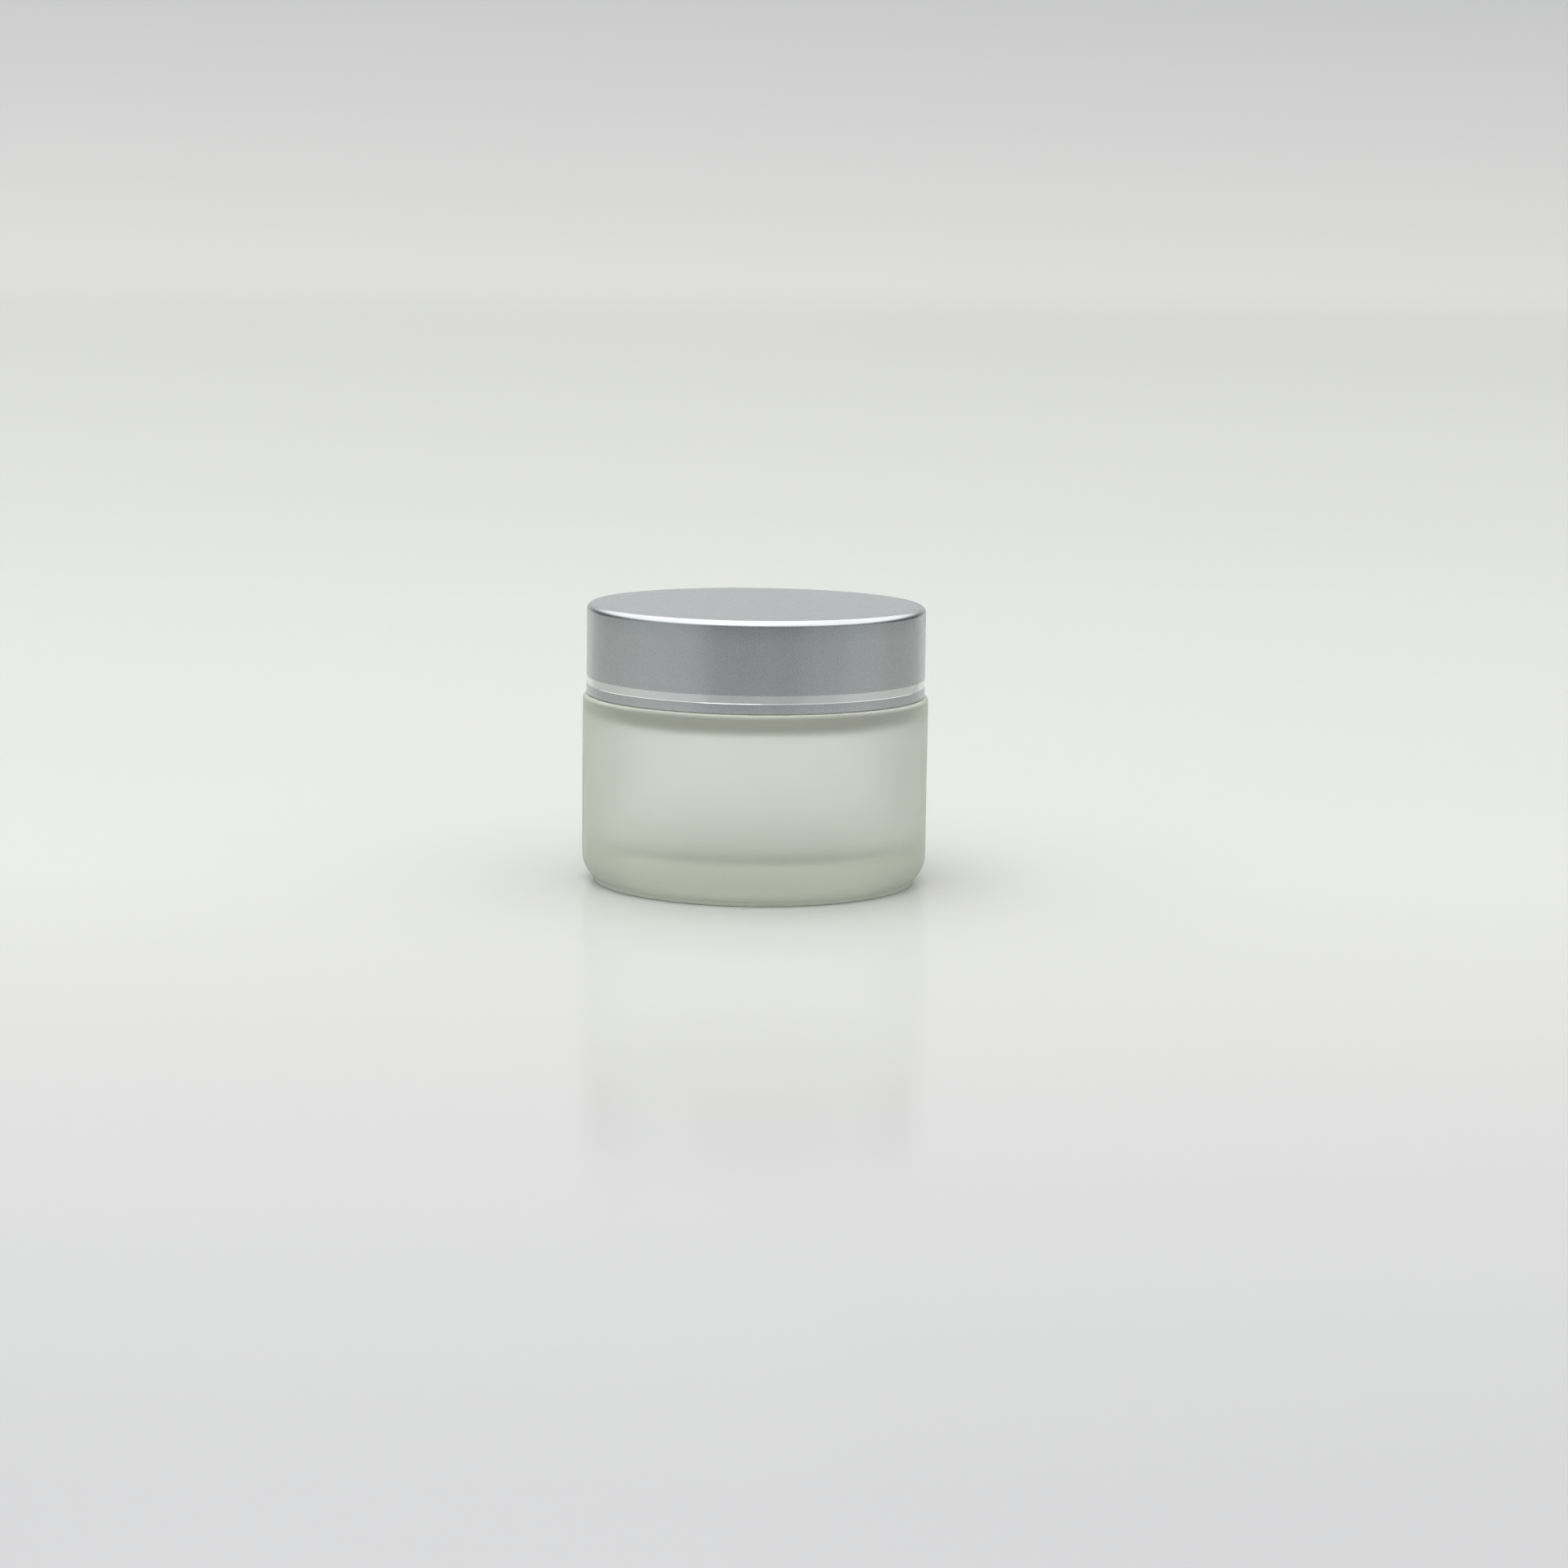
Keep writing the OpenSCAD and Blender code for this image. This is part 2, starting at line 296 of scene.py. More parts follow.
# Aluminium sheet, deep drawn, etched matt and anodised clear. Its oxide gives an even satin grey with a
# fine sparkle, faint marks of drawing down the side, and a few specks of dust.
satinAluminium = {
    "colour": "bdbfc1",
    "markColour": "b4b6b8",
    "roughness": 0.28,
    "roughnessSpread": 0.03,
    "grain": 0.12,            # the real etch pits are about 0.02 mm, too fine to show
    "grainDepth": 0.02,
    "grainStrength": 0.05,
    "drawMarks": 4.0,         # between marks
    "drawStretch": 0.06,      # a mark's width, as a share of its length
    "speckSpacing": 9.0,
    "speckSize": 0.012,       # as a share of the spacing
    "speckColour": "3a3a38",
    "speckCover": 0.75,       # how much of the metal a speck hides
}


def satinAluminiumMaterial(settings):
    material, tree, output, place = startMaterial("drawnAluminiumSatinAnodised")
    stretched = addNode(tree, "ShaderNodeMapping", {"Scale": (1, 1, settings["drawStretch"])},
                        {"Vector": place})
    marks = addNode(tree, "ShaderNodeTexNoise",
                    {"Scale": 1 / (settings["drawMarks"] * mm), "Detail": 4.0},
                    {"Vector": stretched.outputs[0]})
    tone = addNode(tree, "ShaderNodeMix",
                   {6: linearColour(settings["colour"]), 7: linearColour(settings["markColour"])},
                   {0: marks.outputs["Fac"]}, data_type="RGBA")
    dust = addNode(tree, "ShaderNodeTexVoronoi", {"Scale": 1 / (settings["speckSpacing"] * mm)},
                   {"Vector": place})
    speck = addNode(tree, "ShaderNodeMapRange",
                    {"From Min": settings["speckSize"], "From Max": 2 * settings["speckSize"],
                     "To Min": settings["speckCover"], "To Max": 0.0},
                    {"Value": dust.outputs["Distance"]})
    colour = addNode(tree, "ShaderNodeMix", {7: linearColour(settings["speckColour"])},
                     {0: speck.outputs["Result"], 6: tone.outputs[2]}, data_type="RGBA")
    grain = addNode(tree, "ShaderNodeTexNoise",
                    {"Scale": 1 / (settings["grain"] * mm), "Detail": 3.0}, {"Vector": place})
    roughness = addNode(tree, "ShaderNodeMapRange",
                        {"From Min": noiseLow, "From Max": noiseHigh,
                         "To Min": settings["roughness"] - settings["roughnessSpread"],
                         "To Max": settings["roughness"] + settings["roughnessSpread"]},
                        {"Value": grain.outputs["Fac"]})
    bump = addNode(tree, "ShaderNodeBump",
                   {"Strength": settings["grainStrength"], "Distance": settings["grainDepth"] * mm},
                   {"Height": grain.outputs["Fac"]})
    metal = addNode(tree, "ShaderNodeBsdfPrincipled", {"Metallic": 1.0},
                    {"Base Color": colour.outputs[2], "Roughness": roughness.outputs["Result"],
                     "Normal": bump.outputs["Normal"]})
    tree.links.new(metal.outputs[0], output.inputs["Surface"])
    return material


# The same sheet, turned bright with a diamond tool after anodising. The bare metal is whiter than the
# anodised side and nearly mirrors, and the tool leaves fine rings.
brightCut = {
    "colour": "dcdedd",
    "freshRoughness": 0.08,
    "wornRoughness": 0.18,
    "wear": 5.0,              # between worn patches
    "ringSpacing": 0.12,      # drawn coarser than the real feed of about 0.05 mm
    "ringDepth": 0.01,
    "ringStrength": 0.08,
    "ringWaver": 0.5,
}


def brightCutMaterial(settings):
    material, tree, output, place = startMaterial("diamondTurnedAluminium")
    rings = addNode(tree, "ShaderNodeTexWave",
                    {"Scale": waveRepeat / (settings["ringSpacing"] * mm),
                     "Distortion": settings["ringWaver"]},
                    {"Vector": place}, wave_type="BANDS", bands_direction="Z")
    bump = addNode(tree, "ShaderNodeBump",
                   {"Strength": settings["ringStrength"], "Distance": settings["ringDepth"] * mm},
                   {"Height": rings.outputs["Fac"]})
    wear = addNode(tree, "ShaderNodeTexNoise", {"Scale": 1 / (settings["wear"] * mm), "Detail": 2.0},
                   {"Vector": place})
    roughness = addNode(tree, "ShaderNodeMapRange",
                        {"From Min": noiseLow, "From Max": noiseHigh,
                         "To Min": settings["freshRoughness"], "To Max": settings["wornRoughness"]},
                        {"Value": wear.outputs["Fac"]})
    metal = addNode(tree, "ShaderNodeBsdfPrincipled",
                    {"Base Color": linearColour(settings["colour"]), "Metallic": 1.0},
                    {"Roughness": roughness.outputs["Result"], "Normal": bump.outputs["Normal"]})
    tree.links.new(metal.outputs[0], output.inputs["Surface"])
    return material


# Polypropylene, injection moulded: an even waxy sheen, a faint pattern of flow, and light goes a little
# way in. The cap's is pigmented white, and the disc's is left natural and looks milky.
whitePolypropylene = {"name": "mouldedWhitePolypropylene", "colour": "f0f0ec", "flow": "eaeae4",
                      "roughness": 0.36, "depth": 0.25, "reach": (0.8, 0.75, 0.65)}
naturalPolypropylene = {"name": "mouldedNaturalPolypropylene", "colour": "e9ebe6",
                        "flow": "dfe2dc", "roughness": 0.32, "depth": 0.55, "reach": (1.4, 1.3, 1.1)}
mouldedSkin = {
    "ior": 1.49,
    "flowSize": 12.0,         # between streaks of the melt's flow
    "flowSwirl": 1.2,
    "polish": 0.25,           # the real polish is about 0.02 mm, too fine to show
    "polishDepth": 0.03,
    "polishStrength": 0.06,
    "roughnessSpread": 0.04,
}


def polypropyleneMaterial(settings, skin):
    material, tree, output, place = startMaterial(settings["name"])
    flow = addNode(tree, "ShaderNodeTexNoise",
                   {"Scale": 1 / (skin["flowSize"] * mm), "Detail": 3.0,
                    "Distortion": skin["flowSwirl"]}, {"Vector": place})
    colour = addNode(tree, "ShaderNodeMix",
                     {6: linearColour(settings["colour"]), 7: linearColour(settings["flow"])},
                     {0: flow.outputs["Fac"]}, data_type="RGBA")
    polish = addNode(tree, "ShaderNodeTexNoise", {"Scale": 1 / (skin["polish"] * mm), "Detail": 2.0},
                     {"Vector": place})
    roughness = addNode(tree, "ShaderNodeMapRange",
                        {"From Min": noiseLow, "From Max": noiseHigh,
                         "To Min": settings["roughness"] - skin["roughnessSpread"],
                         "To Max": settings["roughness"] + skin["roughnessSpread"]},
                        {"Value": polish.outputs["Fac"]})
    bump = addNode(tree, "ShaderNodeBump",
                   {"Strength": skin["polishStrength"], "Distance": skin["polishDepth"] * mm},
                   {"Height": polish.outputs["Fac"]})
    plastic = addNode(tree, "ShaderNodeBsdfPrincipled",
                      {"IOR": skin["ior"], "Subsurface Weight": settings["depth"],
                       "Subsurface Radius": settings["reach"], "Subsurface Scale": mm},
                      {"Base Color": colour.outputs[2], "Roughness": roughness.outputs["Result"],
                       "Normal": bump.outputs["Normal"]})
    tree.links.new(plastic.outputs[0], output.inputs["Surface"])
    return material


# Polyethylene, expanded into closed-cell foam and cut from sheet. Cells of half a millimetre dimple
# its skin, with painted shade darkening the colour towards each cell's edge, and it has almost no gloss.
foamSheet = {"colour": "f4f4f2", "cellEdgePaintedShade": "dcdcd8", "cell": 0.55, "dimpleDepth": 0.08,
             "dimpleStrength": 0.5, "roughness": 0.85, "depth": 0.3, "reach": (0.9, 0.9, 0.85)}


def foamMaterial(settings):
    material, tree, output, place = startMaterial("expandedPolyethyleneFoam")
    cells = addNode(tree, "ShaderNodeTexVoronoi", {"Scale": 1 / (settings["cell"] * mm)},
                    {"Vector": place})
    # Painted shade: the colour darkens towards each cell's edge, where the bump sinks
    colour = addNode(tree, "ShaderNodeMix",
                     {6: linearColour(settings["colour"]), 7: linearColour(settings["cellEdgePaintedShade"])},
                     {0: cells.outputs["Distance"]}, data_type="RGBA")
    bump = addNode(tree, "ShaderNodeBump",
                   {"Strength": settings["dimpleStrength"], "Distance": settings["dimpleDepth"] * mm},
                   {"Height": cells.outputs["Distance"]}, invert=True)
    sheet = addNode(tree, "ShaderNodeBsdfPrincipled",
                    {"Roughness": settings["roughness"], "Subsurface Weight": settings["depth"],
                     "Subsurface Radius": settings["reach"], "Subsurface Scale": mm},
                    {"Base Color": colour.outputs[2], "Normal": bump.outputs["Normal"]})
    tree.links.new(sheet.outputs[0], output.inputs["Surface"])
    return material


# Hot-melt adhesive, dabbed on molten and pressed flat: amber, smooth and slightly cloudy
hotMelt = {"colour": "dccb98", "cloud": "cdb87c", "cloudSize": 1.2, "roughness": 0.22, "ior": 1.49,
           "depth": 0.6, "reach": (1.0, 0.7, 0.3)}


def hotMeltMaterial(settings):
    material, tree, output, place = startMaterial("pressedHotMeltAdhesive")
    cloud = addNode(tree, "ShaderNodeTexNoise",
                    {"Scale": 1 / (settings["cloudSize"] * mm), "Detail": 2.0}, {"Vector": place})
    colour = addNode(tree, "ShaderNodeMix",
                     {6: linearColour(settings["colour"]), 7: linearColour(settings["cloud"])},
                     {0: cloud.outputs["Fac"]}, data_type="RGBA")
    glue = addNode(tree, "ShaderNodeBsdfPrincipled",
                   {"Roughness": settings["roughness"], "IOR": settings["ior"],
                    "Subsurface Weight": settings["depth"], "Subsurface Radius": settings["reach"],
                    "Subsurface Scale": mm},
                   {"Base Color": colour.outputs[2]})
    tree.links.new(glue.outputs[0], output.inputs["Surface"])
    return material


# Pieces. Each outline starts on the axis, keeps the material on its left, and ends on the axis again, so
# that the piece's faces point outwards.

glassBody = {
    "shoulderHeight": 32.5,
    "wall": 5.0,
    "floorHeight": 6.5,
    "shoulderGlass": 3.5,     # thickness over the well's edge
    "ceilingSlope": 30.0,     # degrees that the well's ceiling climbs towards the throat
    "cornerRounding": 5.5,
    "shoulderRounding": 0.8,
    "wellRounding": 3.0,
    "ceilingRounding": 1.5,
    "throatRounding": 1.0,
    "footInset": 2.0,         # how far the foot's upright edge stands in from the side
    "footEdgeHeight": 0.7,
    "footEdgeRounding": 0.3,
    "footWidth": 9.0,
    "pushUp": 1.0,            # how far the middle of the foot is pushed up
    "pushUpSteps": 11,
    "neckWall": 4.1,
    "lipRounding": 0.8,
    "neckFillet": 0.8,
    "turnSteps": 330,
    "threadStep": 0.16,       # between rows where the thread is
    "knurls": 110,            # short bars pressed up into the foot's flat ring
    "knurlDepth": 0.08,
    "knurlMargin": 0.5,       # left plain at both edges of the ring
    "seamDegrees": 18,        # where the mould's halves met, and again half a turn on
    "seamHeight": 0.02,
    "seamHalfWidth": 0.25,
    "seamReach": 0.75,        # the columns are finer this far to either side
    "seamColumns": 13,
    "seamFade": 0.5,          # how far the seam runs into the roundings at its ends
    "thread": {"start": 36.6, "startDegrees": 0.0, "turns": 1.25, "pitch": 4.232, "height": 1.2,
               "rootHalf": 1.15, "crestHalf": 0.5, "fadeTurns": 0.11},
}


# The corner's rounding q turns through angle t from the side, and meets the top of the foot's edge
# where it stands in by q (1 - cos t). Its two tangents cross q tan(t / 2) below its upper end.
# The push-up is a parabola: at radius r the foot's underside is pushUp (1 - (r / footIn)^2) high. The seam
# stands out as a bell, and the rest of the side stands back by its height, so the body keeps its size.
def makeGlassBody(settings):
    body, land, neck = fit["bodyRadius"], fit["landHeight"], fit["neckRadius"]
    well = body - settings["wall"]
    bore = neck - settings["neckWall"]
    shoulder = settings["shoulderHeight"]
    ceiling = shoulder - settings["shoulderGlass"]
    throat = ceiling + (well - bore) * math.tan(math.radians(settings["ceilingSlope"]))
    footOut = body - settings["footInset"]
    footIn = footOut - settings["footWidth"]
    footTop, q = settings["footEdgeHeight"], settings["cornerRounding"]
    turned = math.acos(1 - settings["footInset"] / q)
    r = np.linspace(0, footIn, settings["pushUpSteps"], endpoint=False)
    underside = np.stack([r, settings["pushUp"] * (1 - (r / footIn) ** 2)], 1)
    rest = roundedOutline([
        (footIn, 0, 0),
        (footOut, 0, settings["footEdgeRounding"]),
        (footOut, footTop, 0),
        (body, footTop + q * (math.sin(turned) - math.tan(turned / 2)), q),
        (body, shoulder, settings["shoulderRounding"]),
        (neck, shoulder, settings["neckFillet"]),
        (neck, land, settings["lipRounding"]),
        (bore, land, settings["lipRounding"]),
        (bore, throat, settings["throatRounding"]),
        (well, ceiling, settings["ceilingRounding"]),
        (well, settings["floorHeight"], settings["wellRounding"]),
        (0, settings["floorHeight"], 0),
    ], arcSteps=9, longestStep=2.0)
    outline = np.concatenate([underside, cutFiner(rest, neck, shoulder, land, settings["threadStep"])])
    seams = math.radians(settings["seamDegrees"]) + np.array([0, math.pi])
    angles = turnAngles(settings["turnSteps"], seams, settings["seamReach"] / body,
                        settings["seamColumns"])
    lipRow = int(np.argmax(outline[:, 1]))
    outside = np.arange(len(outline)) <= lipRow
    onNeck = outside & (np.abs(outline[:, 0] - neck) < tiny)
    swell = threadRidge(settings["thread"], outline[:, 1], angles) * onNeck[:, None]
    fromSeam = np.abs((angles - seams[0] + math.pi / 2) % math.pi - math.pi / 2) * body
    bell = settings["seamHeight"] * np.exp(-(fromSeam / settings["seamHalfWidth"]) ** 2)
    side = smoothStep((outline[:, 0] - body + settings["seamFade"]) / settings["seamFade"]) * outside
    swell = swell + side[:, None] * (bell - settings["seamHeight"])[None, :]
    margin = settings["knurlMargin"]
    onRing = outside & (outline[:, 1] < tiny)
    onRing &= (outline[:, 0] > footIn + margin) & (outline[:, 0] < footOut - margin)
    rise = settings["knurlDepth"] * np.clip(np.sin(settings["knurls"] * angles), 0, 1)
    grid = turnedGrid(outline, angles, swell, onRing[:, None] * rise[None, :])
    etched = np.repeat(outside[:, None], len(angles), axis=1).astype(np.float32)
    return makePiece("glassBody", [grid], "jar", "glass_jar",
                     [etchedGlassMaterial(etchedGlass)], marks={"etched": etched})


sealingDisc = {
    "wall": 0.8,
    "dishGap": 0.15,          # between the dish and the bore
    "boreRadius": 21.0,
    "dishRounding": 0.5,
    "webFillet": 0.3,
    "webFlat": 1.0,           # flat of the web that is turned, before the rows slide to the grip
    "gripLength": 14.0,
    "gripWidth": 1.8,
    "gripDrop": 0.3,          # the grip's top below the rim's top
    "gripFillet": 0.5,
    "gripFoot": 0.2,          # flat of the web round the grip's fillet
    "gripRounding": 0.35,
    "gripRidge": 0.15,        # half width of the grip's last row, on its top
    "edge": 0.2,              # rounding of the moulded edges
    "turnSteps": 192,
    "slideSteps": 6,
    "gateRadius": 1.0,        # ring and nib that the mould's gate leaves underneath
    "gateHeight": 0.12,
    "gateRounding": 0.1,
}


# A capsule round the middle, with its straight sides along x: the columns within roundEnd of each end
# go round the end's half circle, and the others run along the straight between the two centres.
def capsule(angles, halfStraight, radius, roundEnd=math.radians(30)):
    turned = (angles + math.pi) % fullTurn - math.pi
    side = np.where(np.abs(turned) < math.pi / 2, 1, -1)
    fromEnd = np.where(side > 0, turned, (angles % fullTurn) - math.pi)
    onEnd = np.abs(fromEnd) < roundEnd
    bend = np.clip(fromEnd / roundEnd, -1, 1) * math.pi / 2
    along = (math.pi / 2 - np.abs(fromEnd)) / (math.pi / 2 - roundEnd)
    x = side * (halfStraight * np.where(onEnd, 1, along) + radius * np.where(onEnd, np.cos(bend), 0))
    y = side * radius * np.where(onEnd, np.sin(bend), np.sign(fromEnd))
    return x, y


# The disc is turned as far as its web. From there the rows slide from the circle to the grip's capsule,
# and climb the grip: each row is the capsule at its own offset and height.
def makeSealingDisc(settings):
    rim, land, floor = fit["neckRadius"], fit["landHeight"], fit["dishFloor"]
    dish = settings["boreRadius"] - settings["dishGap"]
    wall, edge = settings["wall"], settings["edge"]
    gate, nib, q = settings["gateRadius"], settings["gateHeight"], settings["gateRounding"]
    web = floor + wall
    top = land + wall
    underside = roundedOutline([
        (0, floor + nib / 2, 0),
        (gate * 0.3, floor + nib / 2, q / 2),
        (gate * 0.5, floor + nib, q),
        (gate, floor + nib, q),
        (gate * 1.2, floor, q),
        (dish, floor, settings["dishRounding"]),
        (dish, land, edge),
        (rim, land, edge),
        (rim, top, edge),
        (dish - wall, top, edge),
        (dish - wall, web, settings["webFillet"]),
        (dish - wall - settings["webFlat"], web, 0),
    ], arcSteps=5, longestStep=3.0)
    angles = turnAngles(settings["turnSteps"])
    turned = turnedGrid(underside, angles)
    halfStraight = (settings["gripLength"] - settings["gripWidth"]) / 2
    half, fillet = settings["gripWidth"] / 2, settings["gripFillet"]
    gripTop = top - settings["gripDrop"]
    climb = roundedOutline([
        (half + fillet + settings["gripFoot"], web, 0),
        (half, web, fillet),
        (half, gripTop, settings["gripRounding"]),
        (settings["gripRidge"], gripTop, 0),
    ], arcSteps=6, longestStep=1.5)
    rows = [np.stack([*capsule(angles, halfStraight, offset), 0 * angles + height], 1)
            for offset, height in climb]
    share = np.linspace(0, 1, settings["slideSteps"] + 1)[1:-1, None, None]
    slide = turned[-1] * (1 - share) + rows[0] * share
    grid = np.concatenate([turned, slide, np.array(rows)])
    return makePiece("sealingDisc", [grid], "disc", "sealing_disc",
                     [polypropyleneMaterial(naturalPolypropylene, mouldedSkin)])


foamLiner = {
    "edge": 0.12,             # softness of the cut edge
    "pressDepth": 0.06,       # groove that the disc's rim has pressed in
    "pressInside": 21.3,
    "pressOutside": 25.1,
    "pressSlope": 0.4,        # width of the groove's sloping sides
    "pressRounding": 0.3,
    "turnSteps": 192,
    "waver": 0.03,            # how far the knife wandered
    "waverReach": 1.0,        # how far in from the edge that shows
}


# A flat disc with a shallow pressed ring underneath. Its edge wavers as two slow sine waves round it.
def makeFoamLiner(settings):
    radius, low, high = fit["linerRadius"], fit["linerBottom"], fit["plateBottom"]
    press, edge = settings["pressDepth"], settings["edge"]
    slope, q = settings["pressSlope"], settings["pressRounding"]
    outline = roundedOutline([
        (0, low, 0),
        (settings["pressInside"] - slope, low, q),
        (settings["pressInside"], low + press, q),
        (settings["pressOutside"], low + press, q),
        (settings["pressOutside"] + slope, low, q),
        (radius, low, edge),
        (radius, high, edge),
        (0, high, 0),
    ], arcSteps=5, longestStep=3.0)
    angles = turnAngles(settings["turnSteps"])
    wander = settings["waver"] * (0.5 * np.sin(3 * angles) + 0.5 * np.sin(7 * angles + 1) - 1)
    atEdge = smoothStep((outline[:, 0] - radius) / settings["waverReach"] + 1)[:, None]
    return makePiece("foamLiner", [turnedGrid(outline, angles, atEdge * wander[None, :])],
                     "liner", "foam_liner", [foamMaterial(foamSheet)])


innerCap = {
    "skirtWall": 1.3,
    "linerGap": 0.2,
    "ribHeight": 0.95,
    "ribWidth": 1.2,
    "ribs": 24,
    "ribFlank": 0.1,
    "ribEnd": 0.1,            # length of a rib's sloping upper end
    "ribColumns": 8,          # between one rib and the next
    "ribTopDrop": 1.1,        # the ribs end this far below the plate's top
    "flange": 0.8,
    "topEdge": 0.65,
    "edge": 0.2,
    "innerFillet": 0.15,
    "beadHeight": 0.45,       # the bead that holds the liner in
    "beadWidth": 0.6,
    "beadRounding": 0.12,
    "beadFillet": 0.1,
    "ringRadii": (10.5, 21.0),   # rings on the top that hold the shell off
    "ringWidth": 0.8,
    "ringRounding": 0.08,
    "ringFillet": 0.05,
    "threadStep": 0.2,        # between rows where the thread is
    "threadMargin": 1.0,      # bore left plain below the liner
    "thread": {"start": 34.45, "startDegrees": -53.2, "turns": 1.25, "pitch": 4.232, "height": 1.2,
               "rootHalf": 0.96, "crestHalf": 0.36, "fadeTurns": 0.11},
}


# Ribs swell out of the skirt: full height within half a rib's width of each rib's middle, and nothing
# past one flank more. The thread swells into the bore.
def makeInnerCap(settings):
    bore = fit["linerRadius"] + settings["linerGap"]
    skirt = bore + settings["skirtWall"]
    shell, bottom = fit["shellInside"], fit["capBottom"]
    under, top, ceiling = fit["plateBottom"], fit["plateTop"], fit["shellCeiling"]
    linerLow = fit["linerBottom"]
    edge, bead, beadHalf = settings["edge"], settings["beadHeight"], settings["beadWidth"] / 2
    flangeTop = bottom + settings["flange"]
    ribTop, ribEnd = top - settings["ribTopDrop"], settings["ribEnd"]
    corners = [
        (0, under, 0),
        (bore, under, settings["innerFillet"]),
        (bore, linerLow, 0),
        (bore - bead, linerLow - beadHalf, settings["beadRounding"]),
        (bore, linerLow - 2 * beadHalf, settings["beadFillet"]),
        (bore, bottom, edge),
        (shell, bottom, edge),
        (shell, flangeTop, edge / 2),
        (skirt, flangeTop, edge / 2),
        (skirt, ribTop - ribEnd / 2, 0),
        (skirt, ribTop + ribEnd / 2, 0),
        (skirt, top, settings["topEdge"]),
    ]
    ringHalf = settings["ringWidth"] / 2
    for ring in sorted(settings["ringRadii"], reverse=True):
        corners += [
            (ring + ringHalf, top, settings["ringFillet"]),
            (ring + ringHalf, ceiling, settings["ringRounding"]),
            (ring - ringHalf, ceiling, settings["ringRounding"]),
            (ring - ringHalf, top, settings["ringFillet"]),
        ]
    corners.append((0, top, 0))
    outline = roundedOutline(corners, arcSteps=4, longestStep=3.0)
    outline = cutFiner(outline, bore, bottom, linerLow, settings["threadStep"])
    pitch = fullTurn / settings["ribs"]
    half = settings["ribWidth"] / 2 / shell
    flank = settings["ribFlank"] / shell
    offRib = np.linspace(half + flank, pitch - half - flank, settings["ribColumns"])
    angles = np.concatenate([np.array([-half, 0, half]), offRib])
    angles = np.sort((angles + pitch * np.arange(settings["ribs"])[:, None]).ravel() % fullTurn)
    fromRib = np.abs((angles + pitch / 2) % pitch - pitch / 2)
    rib = (fromRib < half + flank / 2) * settings["ribHeight"]
    rows = np.arange(len(outline))
    outside = rows > int(np.argmax(outline[:, 0]))
    onRibs = outside & (np.abs(outline[:, 0] - skirt) < tiny) & (outline[:, 1] < ribTop)
    inBore = ~outside & (np.abs(outline[:, 0] - bore) < tiny)
    inBore &= outline[:, 1] < linerLow - settings["threadMargin"]
    swell = onRibs[:, None] * rib[None, :]
    swell = swell - inBore[:, None] * threadRidge(settings["thread"], outline[:, 1], angles)
    return makePiece("innerCap", [turnedGrid(outline, angles, swell)], "lid", "inner_cap",
                     [polypropyleneMaterial(whitePolypropylene, mouldedSkin)])


adhesiveDabs = {
    "count": 6,
    "ringRadius": 15.75,
    "radius": 2.4,
    "rimBulge": 0.14,
    "unevenness": 0.13,
    "phaseStep": 2.1,         # from each dab to the next, in radians
    "turnSteps": 40,
}


# Each dab is flat above and below with a round bulging rim. Its outline wavers as
# radius (1 - unevenness (1 + cos(2 a + p) / 2 + cos(3 a + 2 p) / 2)), where p is its own phase.
def makeAdhesiveDabs(settings):
    low, high = fit["plateTop"], fit["shellCeiling"]
    angles = turnAngles(settings["turnSteps"])
    flat = settings["radius"] - settings["rimBulge"]
    outline = roundedOutline([
        (0, low, 0),
        (flat, low, 0),
        (settings["radius"], (low + high) / 2, settings["rimBulge"] / 2),
        (flat, high, 0),
        (0, high, 0),
    ], arcSteps=5, longestStep=0.8)
    grids = []
    for i in range(settings["count"]):
        turn = fullTurn * i / settings["count"]
        phase = settings["phaseStep"] * i
        uneven = 1 + np.cos(2 * angles + phase) / 2 + np.cos(3 * angles + 2 * phase) / 2
        grid = turnedGrid(outline, angles)
        grid[..., :2] *= (1 - settings["unevenness"] * uneven)[None, :, None]
        grids.append(grid + settings["ringRadius"] * np.array([math.cos(turn), math.sin(turn), 0]))
    return makePiece("adhesiveDabs", grids, "lid", "adhesive_dabs",
                     [hotMeltMaterial(hotMelt)])


aluminiumShell = {
    "sheet": 0.45,
    "topRounding": 1.1,
    "bottomEdge": 0.12,       # rounding of the trimmed bottom edge
    "bandLow": 1.7,           # above the bottom edge
    "bandWidth": 1.3,
    "bandDepth": 0.08,
    "bandChamfer": 0.05,
    "turnSteps": 360,
}


# A thin cup, mouth down. The bright band is a shallow flat groove with chamfered edges round its side.
def makeAluminiumShell(settings):
    radius, low, high = fit["lidRadius"], fit["lidBottom"], fit["lidTop"]
    sheet, q = settings["sheet"], settings["topRounding"]
    inside, cut, chamfer = radius - sheet, radius - settings["bandDepth"], settings["bandChamfer"]
    bandLow = low + settings["bandLow"]
    bandHigh = bandLow + settings["bandWidth"]
    outline = roundedOutline([
        (0, high - sheet, 0),
        (inside, high - sheet, q - sheet),
        (inside, low, settings["bottomEdge"]),
        (radius, low, settings["bottomEdge"]),
        (radius, bandLow - chamfer, 0),
        (cut, bandLow, 0),
        (cut, bandHigh, 0),
        (radius, bandHigh + chamfer, 0),
        (radius, high, q),
        (0, high, 0),
    ], arcSteps=12, longestStep=3.0)
    shell = makePiece("aluminiumShell", [turnedGrid(outline, turnAngles(settings["turnSteps"]))],
                      "lid", "aluminium_shell",
                      [satinAluminiumMaterial(satinAluminium), brightCutMaterial(brightCut)],
                      sharpDegrees=30)
    # The faces of the groove take the bright-cut finish
    middles = np.empty(len(shell.data.polygons) * 3)
    shell.data.polygons.foreach_get("center", middles)
    x, y, z = middles.reshape(-1, 3).T / mm
    bright = (z > bandLow - chamfer) & (z < bandHigh + chamfer) & (np.hypot(x, y) > radius - sheet / 2)
    shell.data.polygons.foreach_set("material_index", bright.astype(np.int32))
    return shell


